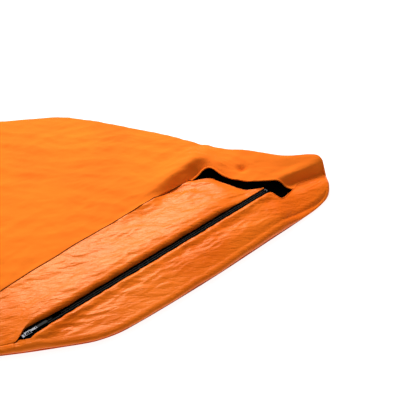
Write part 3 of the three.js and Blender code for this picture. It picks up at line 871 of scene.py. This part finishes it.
@dataclass
class Panels:
    """The sewn cloth panels.

    Attributes:
        skin: the shape that they share.
        step: distance between stations on the hood half, in millimetres.
        far_step: distance between stations on the foot half, in millimetres.
        thick: the cloth's thickness as drawn, in millimetres.
        underside: height of the rolled edges' lowest line.
        turn: how far round the rolled edges go, in radians.
        wobble: unevenness of the rolled edges.
    """
    skin: Skin
    step: float = 5.0
    far_step: float = 9.0
    thick: float = 0.6
    underside: float = 2.1
    turn: float = 3.02
    wobble: float = 2.2

    def stations(self, low: float, high: float) -> Array:
        """X stations between two limits, closer on the hood half and closest at the ends."""
        plan = self.skin.plan
        ends = np.array([0, 0.3, 1, 2.2, 4, 7, 11, 16, 24, 32])
        middle = np.r_[np.arange(plan.foot + 40, 100, self.far_step),
                       np.arange(100, plan.head - 40, self.step)]
        xs = np.r_[plan.foot + ends, middle, plan.head - ends[::-1]]
        xs = xs[(xs > low + 1) & (xs < high - 1)]
        return np.r_[low, xs, high]

    def edge_lines(self, edge: Edge, xs: Array) -> tuple[Array, Array]:
        """The line where an edge's roll starts, and the outward direction along it.

        Args:
            edge: which long edge.
            xs: stations along the sack.

        Returns:
            Plan points and unit directions, one of each for each station.
        """
        outline = self.skin.plan.outline(edge, xs)
        run = np.gradient(outline, axis=0)
        out = edge.value * np.column_stack([-run[:, 1], run[:, 0]])
        out /= np.linalg.norm(out, axis=1)[:, None]
        out[xs <= self.skin.plan.foot] = (-1, 0)
        out[xs >= self.skin.plan.head] = (1, 0)
        return outline - out * self.skin.roll_at(xs)[:, None], out

    def edge_roll(self, edge: Edge, low: float, high: float, height) -> Grid:
        """The rolled long edge between two stations."""
        xs = self.stations(low, high)
        inner, out = self.edge_lines(edge, xs)
        z = height(inner[:, 0], inner[:, 1])
        plan = self.skin.plan
        from_ends = smooth(plan.foot, plan.foot + 60, xs) * (1 - smooth(plan.head - 60, plan.head, xs))
        wobble = self.wobble * gradient_noise(xs / 70, xs * 0 + edge.value, 51) * from_ends
        radius = self.skin.roll_at(xs) - 1.5 + wobble
        return rolled(np.column_stack([inner, z]), out, radius, np.full(len(xs), self.underside),
                      self.turn, 15)

    def leaves_edge(self, xs: Array, line: Array) -> float:
        """X, among those given, where a plan line leaves the near edge's roll."""
        return float(xs[np.argmax(line > self.skin.near_inner(xs))])

    def seam_start(self) -> float:
        """X where the long seam starts."""
        xs = np.linspace(-200, 200, 2001)
        return self.leaves_edge(xs, self.skin.along_line(self.skin.plan.seam, xs))

    def zip_start(self) -> float:
        """X where the zip line starts."""
        xs = np.linspace(150, 260, 1101)
        return self.leaves_edge(xs, self.skin.zip_edge(xs, self.skin.plan.tape_half, 1))

    def drawn_in(self, xs: Array, end: float) -> Array:
        """Stations beyond the face opening, squeezed so that the last one lies at end."""
        plan = self.skin.plan
        share = (xs - plan.mouth_end) * (end - plan.mouth_end) / (plan.head - plan.mouth_end)
        return np.where(xs > plan.mouth_end, plan.mouth_end + share, xs)

    def top_panel(self) -> bpy.types.Object:
        """The matte top, from the foot seam to the hood's brim and end."""
        skin, plan = self.skin, self.skin.plan
        xs = self.stations(plan.foot + plan.foot_cap, plan.head)
        high, _ = self.edge_lines(Edge.FAR, xs)
        low_x = self.drawn_in(xs, high[-1, 0])
        line = np.where(low_x < plan.corner, np.maximum(skin.near_inner(low_x),
                                                        skin.along_line(plan.seam, low_x)),
                        np.where(low_x < plan.mouth_end, skin.along_line(plan.brim, low_x),
                                 skin.along_line(plan.hood_seam, low_x)))
        low = np.column_stack([low_x, line])
        low[-1] = high[-1]
        grids = [ruled(low, high, 132, skin.matte),
                 self.edge_roll(Edge.FAR, plan.foot + plan.foot_cap, plan.head, skin.matte),
                 self.edge_roll(Edge.NEAR, plan.foot + plan.foot_cap, self.seam_start(), skin.matte)]
        return cloth_object("matte_top", grids, self.thick)

    def coated_strip(self) -> bpy.types.Object:
        """The strip between the matte top and the zip, with the lapel in one piece with it."""
        skin, plan = self.skin, self.skin.plan
        roll = 9.0
        xs = self.stations(self.seam_start(), 911)
        near = skin.near_inner(xs)
        narrowing = smooth(810, 905, xs)
        beside = skin.zip_edge(xs, plan.tape_half + roll, 1) * (1 - narrowing)
        beside += skin.zip_edge(xs, plan.tape_half - 3, 1) * narrowing
        low = np.column_stack([xs, np.maximum(near, beside)])
        seam = np.where(xs < plan.corner, skin.along_line(plan.seam, xs),
                        skin.along_line(plan.lapel_rim, xs))
        high = np.column_stack([xs, np.maximum(seam, low[:, 1])])
        sheet = ruled(low, high, 48, skin.strip)
        corner = self.zip_start()
        grids = [sheet, self.edge_roll(Edge.NEAR, self.seam_start(), corner + 2, skin.strip)]
        keep = xs >= corner
        inner = sheet[keep, 0]
        s, n = skin.zip_place(inner[:, 0], inner[:, 1])
        side = plan.zip_axes()[1][:2]
        out = np.tile(-side, (len(inner), 1))
        radius = np.clip(n - plan.tape_half + 6.5 * smooth(20, 120, s), 0.1, None)
        radius *= 1 + 0.12 * gradient_noise(s / 40, s * 0, 52)
        foot = np.minimum(skin.zip_height(s) + 0.6, inner[:, 2])
        grids.append(draped(inner, out, radius, foot, 14))
        return cloth_object("coated_strip", grids, self.thick)

    def near_side(self) -> bpy.types.Object:
        """The coated panel on the near side of the zip, up to the hood's end."""
        skin, plan = self.skin, self.skin.plan
        xs = self.stations(self.zip_start() - 2, plan.head)
        low, _ = self.edge_lines(Edge.NEAR, xs)
        high_x = self.drawn_in(xs, low[-1, 0])
        pucker = 1.6 * gradient_noise(high_x / 13, high_x * 0, 53)
        beside_zip = skin.zip_edge(high_x, plan.tape_half - 0.5, -1) + pucker
        line = np.where(high_x < plan.near_rim[0][0], beside_zip,
                        np.where(high_x < plan.mouth_end, skin.along_line(plan.near_rim, high_x),
                                 skin.along_line(plan.hood_seam, high_x)))
        high = np.column_stack([high_x, np.maximum(line, low[:, 1])])
        high[-1] = low[-1]
        grids = [ruled(low, high, 56, skin.side),
                 self.edge_roll(Edge.NEAR, self.zip_start() - 2, plan.head, skin.side)]
        return cloth_object("near_side", grids, self.thick)

    def foot_end(self) -> bpy.types.Object:
        """The coated panel that closes the foot end."""
        skin, plan = self.skin, self.skin.plan
        xs = self.stations(plan.foot, plan.foot + plan.foot_cap)
        low, _ = self.edge_lines(Edge.NEAR, xs)
        high, _ = self.edge_lines(Edge.FAR, xs)
        grids = [ruled(low, high, 90, skin.matte)]
        for edge in Edge:
            grids.append(self.edge_roll(edge, plan.foot, plan.foot + plan.foot_cap, skin.matte))
        return cloth_object("foot_end", grids, self.thick)

    def level_sheet(self, name: str, inset: float, z: float) -> bpy.types.Object:
        """A level sheet inside the outline, drawn in by inset, with faint waves.

        Args:
            name: the piece's name.
            inset: distance from the outline.
            z: its height in millimetres.

        Returns:
            The finished sheet.
        """
        plan = self.skin.plan
        ends = np.array([0, 1, 3, 7, 14, 24, 36])
        low, high = plan.foot + inset, plan.head - inset
        xs = np.r_[low + ends, np.arange(low + 50, high - 40, 12), high - ends[::-1]]
        along = plan.foot + (xs - xs[0]) / (xs[-1] - xs[0]) * (plan.head - plan.foot)
        near, far = plan.outline(Edge.NEAR, along), plan.outline(Edge.FAR, along)
        middle, half = (near[:, 1] + far[:, 1]) / 2, (far[:, 1] - near[:, 1]) / 2
        half = np.maximum(half - inset, 0.5)
        grid = ruled(np.column_stack([xs, middle - half]), np.column_stack([xs, middle + half]), 60,
                     lambda x, y: z + FLOOR_WAVES.height(x, y))
        return cloth_object(name, [grid], self.thick)

    def build(self) -> None:
        """Makes every panel, dresses it and hides the nodes that it stands for."""
        shells = (
            # Each panel's back material is darker, as painted shade of the sack's inside.
            (self.top_panel(), "sack", "matte_shell", (MATTE, MATTE_BACK_SHADED), ("top_panel",),
             (2.15, 0.95), 1.32),
            # The coated panels' backs are darker too, as painted shade of the inside.
            (self.coated_strip(), ACROSS_FOLD, "coated_shell", (COATED, COATED_BACK_SHADED),
             ("side_strip", "lapel_panel"), (1.05, 0.26), 0.148),
            (self.near_side(), "sack", "coated_shell", (COATED, COATED_BACK_SHADED),
             ("near_side_panel",), (0.95, 0.24), 0.12),
            (self.foot_end(), "sack", "coated_shell", (COATED, COATED_BACK_SHADED),
             ("foot_end_panel",), (0.7, 0.12), 0.07))
        for made, body, slot, finishes, stands_for, flat, area in shells:
            settle(made, self.skin.plan, body, slot, finishes, *stands_for)
        for name, stands_for, inset, z, finish, slot, area in (
                ("floor_cloth", "floor_panel", 6, 1.4, COATED, "coated_shell", 1.46),
                # This lining is a near-black sheet laid inside as painted shade of the mouth.
                ("painted_shade_lining", "floor_lining", 24, 3.4, PAINTED_SHADE_LINING, "black_lining", 1.33)):
            made = self.level_sheet(name, inset, z)
            settle(made, self.skin.plan, "sack", slot, (finish, finish), stands_for)
        LOG.info("panels: %s", [shell[0].name for shell in shells])


@dataclass
class Zip:
    """The zip's tapes and coils, laid flat beside each other.

    Attributes:
        skin: the shape that it lies in.
        pitch: distance from tooth to tooth, in millimetres.
        tooth: thickness of a tooth.
        level: height of the coils' middle over the zip line.
        reach: how far a tape runs on past its visible half width.
    """
    skin: Skin
    pitch: float = 2.0
    tooth: float = 1.9
    level: float = -1.1
    reach: float = 3.0

    def tape(self, name: str, start: float, end: float, side: int) -> bpy.types.Object:
        """One tape, with the slight waves that its stitching leaves.

        Args:
            name: the piece's name.
            start: distance of its first end from the zip's foot end.
            end: distance of its other end.
            side: 1 for the lapel's side, -1 for the near side.

        Returns:
            The finished tape.
        """
        plan = self.skin.plan
        s = np.linspace(start, end, max(int((end - start) / 4), 4))
        n = np.linspace(plan.coil_half + 0.3, plan.tape_half + self.reach, 7)
        run, across, _ = plan.zip_axes()
        foot = np.array(plan.zip_foot)
        grid = foot + s[:, None, None] * run + side * n[None, :, None] * across
        wave = gradient_noise(s / 9, s * 0, 71)[:, None] * 0.35 * (n[None, :] / plan.tape_half)
        sag = 0.8 * smooth(plan.tape_half - self.reach, plan.tape_half + self.reach, n)
        grid[..., 2] += -1.0 + wave - sag[None, :]
        return cloth_object(name, [grid], 0.6)

    def teeth(self, name: str, stands_for: str, start: float, end: float, side: int,
              body: str) -> None:
        """One coil: a rounded tooth, copied along the tape's edge on a core cord.

        Args:
            name: the piece's name.
            stands_for: the node that it replaces.
            start: distance of its first tooth from the zip's foot end.
            end: distance that its last tooth stays short of.
            side: 1 for the lapel's side, -1 for the near side.
            body: the body that it rides on.
        """
        plan = self.skin.plan
        run, across, _ = plan.zip_axes()
        middle = (plan.gap_half + plan.coil_half) / 2
        place = Vector(plan.on_zip(start, side * middle, self.level)) * MM
        clear_selection()
        bpy.ops.mesh.primitive_cylinder_add(vertices=8, radius=self.tooth / 2 * MM,
                                            depth=(plan.coil_half - plan.gap_half) * MM,
                                            location=place)
        made = bpy.context.object
        made.name = name
        made.rotation_euler = Vector(across).to_track_quat("Z", "Y").to_euler()
        bpy.ops.object.transform_apply(location=True, rotation=True, scale=True)
        round_ends = made.modifiers.new("round_ends", "BEVEL")
        round_ends.width = 0.35 * MM
        round_ends.segments = 1
        copies = made.modifiers.new("copies", "ARRAY")
        copies.use_relative_offset = False
        copies.use_constant_offset = True
        copies.constant_offset_displace = Vector(run) * self.pitch * MM
        copies.count = int((end - start) / self.pitch)
        for modifier in list(made.modifiers):
            bpy.ops.object.modifier_apply(modifier=modifier.name)
        made.data.shade_smooth()
        core = [plan.on_zip(s, side * (middle + 0.4), self.level) for s in (start - 0.5, end - 1)]
        cord = new_object(name + "_cord", *swept(np.array(core), oval(1.3, 1.2, 8)))
        clear_selection()
        cord.select_set(True)
        made.select_set(True)
        bpy.context.view_layer.objects.active = made
        bpy.ops.object.join()
        # The coil's near pure black is partly painted shade of the zip's valley.
        settle(made, plan, body, "zip_coil", (ZIP_COIL_AND_SHADE,), stands_for)

    def build(self) -> None:
        """Makes the tapes and gives the coils, stops, slider and puller their finishes."""
        length = self.skin.plan.zip_axes()[2]
        for name, stands_for, start, end, side, body in (
                ("tape_near", "zip_tape_lower", 0, length, -1, "sack"),
                ("tape_lapel", "zip_tape_upper", 165, length, 1, "lapel"),
                ("tape_foot", "zip_tape_foot", 0, 88, 1, "sack")):
            made = self.tape(name, start, end, side)
            # The tapes' near pure black is partly painted shade of the zip's valley.
            settle(made, self.skin.plan, body, "zip_tape", (ZIP_TAPE_AND_SHADE, ZIP_TAPE_AND_SHADE), stands_for)
        for name, stands_for, start, end, side, body in (
                ("teeth_near", "zip_coil_lower", 6, length - 7, -1, "sack"),
                ("teeth_lapel", "zip_coil_upper", 112, length - 7, 1, "lapel"),
                ("teeth_foot", "zip_coil_foot", 7, 88, 1, "sack")):
            self.teeth(name, stands_for, start, end, side, body)
        for name in ("zip_foot_stop", "zip_top_stop_lower", "zip_top_stop_upper", "zip_slider",
                     "zip_puller"):
            dress(bpy.data.objects[name], ZIP_METAL)
        dress(bpy.data.objects["puller_tab"], WEBBING)
        LOG.info("zip dressed")


@dataclass
class Trim:
    """Seams and hems.

    Attributes:
        skin: the shape that they follow.
    """
    skin: Skin

    def bar(self, name: str, stands_for: str, body: str, slot: str, path: Array,
            profile: Array, finish) -> None:
        """One seam or hem along a path. The arguments are as for settle."""
        made = new_object(name, *swept(path, profile))
        settle(made, self.skin.plan, body, slot, (finish,), stands_for)

    def path(self, line: tuple, count: int, height, into: float = 0.0, lift: float = 0.0) -> Array:
        """Places along a plan line on the cloth.

        Args:
            line: the plan line.
            count: how many places.
            height: the cloth's height function.
            into: distance to the line's right.
            lift: distance above the cloth.

        Returns:
            An array of shape (count, 3).
        """
        plan = plan_curve(list(line), count)
        at = plan + outward(plan) * into
        z = height(plan[:, 0], plan[:, 1]) + lift
        return np.column_stack([at, z])

    def build(self) -> None:
        """Makes each seam and hem."""
        skin, plan = self.skin, self.skin.plan
        seam = self.path(plan.seam, 260, skin.matte, 0.5, 0.2)
        seam = seam[seam[:, 0] > -32]
        # The long seam's dark line is thread and painted shadow.
        self.bar("long_seam", "strip_seam", "sack", "felled_seam", seam, oval(2.6, 1.4, 8), SEAM_THREAD_AND_SHADOW)
        hood = self.path(plan.hood_seam, 60, skin.matte, 0, 0.3)
        hood = hood[hood[:, 0] < 1080]
        self.bar("hood_end_seam", "hood_seam", "sack", "felled_seam", hood, oval(3.0, 1.4, 8), MATTE)
        ys = np.linspace(-262, 262, 120)
        at = plan.foot + plan.foot_cap
        foot = np.column_stack([np.full(120, at), ys, skin.matte(np.full(120, at), ys) + 0.2])
        # The foot seam's dark line is thread and painted shadow too.
        self.bar("foot_end_seam", "foot_seam", "sack", "felled_seam", foot, oval(3.0, 1.4, 8),
                 SEAM_THREAD_AND_SHADOW)
        brim = self.path(plan.brim, 160, skin.matte, 2.6, -0.4)
        self.bar("brim_tunnel", "brim_hem", "sack", "matte_shell", brim[2:-2], oval(6.4, 4.2, 14), MATTE)
        self.bar("tunnel_elastic", "brim_elastic", "sack", "elastic", brim, oval(2.2, 1.8, 8), ELASTIC)
        lapel = self.path(plan.lapel_rim, 90, skin.strip, 0.4, -0.2)[10:]
        self.bar("lapel_edge", "lapel_hem", ACROSS_FOLD, "coated_shell", lapel, oval(3.2, 2.0, 10),
                 COATED)
        rim = self.path(plan.near_rim, 60, skin.side, -0.4, 0.0)
        self.bar("near_rim_edge", "near_rim_hem", "sack", "coated_shell", rim, oval(3.2, 2.2, 10), COATED)
        xs = np.linspace(plan.foot + 40, plan.head - 60, 260)
        for edge, name, stands_for in ((Edge.NEAR, "tape_floor_near", "floor_seam_near"),
                                       (Edge.FAR, "tape_floor_far", "floor_seam_far")):
            y = plan.outline(edge, xs)[:, 1] - edge.value * 13
            tape = np.column_stack([xs, y, np.full(len(xs), 0.5)])
            self.bar(name, stands_for, "sack", "seam_tape", tape, oval(11, 0.7, 8), SEAM_TAPE)
        LOG.info("trim made")


@dataclass
class Studio:
    """Pale floor, soft light and the camera.

    Attributes:
        azimuth: the camera's azimuth round the sack, in degrees.
        elevation: its height above the horizon, in degrees.
        distance: its distance from what it looks at, in millimetres.
        lens: its focal length, in millimetres.
        target: the place on the floor that it looks at.
    """
    azimuth: float = -11.6
    elevation: float = 40.0
    distance: float = 2600.0
    lens: float = 85.0
    target: tuple = (742.4, 15.5, 0.0)

    def light(self, name: str, place: tuple, at: tuple, size: float, power: float) -> None:
        """One square soft light.

        Args:
            name: its name.
            place: where it hangs, in metres.
            at: where it points, in metres.
            size: its side, in metres.
            power: its power in watts.
        """
        lamp = bpy.data.lights.new(name, "AREA")
        lamp.size, lamp.energy = size, power
        made = bpy.data.objects.new(name, lamp)
        made.location = place
        made.rotation_euler = (Vector(at) - Vector(place)).to_track_quat("-Z", "Y").to_euler()
        bpy.context.collection.objects.link(made)

    def build(self) -> None:
        """Makes the floor, lights, world and camera."""
        clear_selection()
        bpy.ops.mesh.primitive_plane_add(size=14, location=(0, 0, -0.001))
        floor = bpy.context.object
        floor.name = "pale_floor"
        made, tree, shader = new_material("white paper")
        feed(tree, shader, {"Base Color": (0.3, 0.3, 0.3, 1), "Roughness": 0.9,
                            "Emission Color": (1, 1, 1, 1), "Emission Strength": 0.9})
        floor.data.materials.append(made)
        self.light("key", (0.5, 2.6, 2.7), (0.6, 0, 0), 1.4, 175)
        self.light("top", (0.2, 0.8, 3.2), (0.4, 0, 0), 2.2, 20)
        world = bpy.data.worlds.new("studio")
        world.use_nodes = True
        feed(world.node_tree, world.node_tree.nodes["Background"], {0: (1, 1, 1, 1), 1: 0.22})
        bpy.context.scene.world = world
        a, e = math.radians(self.azimuth), math.radians(self.elevation)
        back = Vector((math.sin(a) * math.cos(e), -math.cos(a) * math.cos(e), math.sin(e)))
        lens = bpy.data.cameras.new("camera")
        lens.lens, lens.sensor_width = self.lens, 36
        camera = bpy.data.objects.new("camera", lens)
        camera.location = (Vector(self.target) + back * self.distance) * MM
        camera.rotation_euler = (-back).to_track_quat("-Z", "Y").to_euler()
        bpy.context.collection.objects.link(camera)
        bpy.context.scene.camera = camera
        bpy.context.scene.view_settings.view_transform = "Standard"


def main() -> None:
    """Builds the sack and its studio."""
    logging.basicConfig(level=logging.INFO)
    Studio().build()
    skin = Skin()
    Panels(skin).build()
    Trim(skin).build()
    Zip(skin).build()


if __name__ == "__main__":
    main()
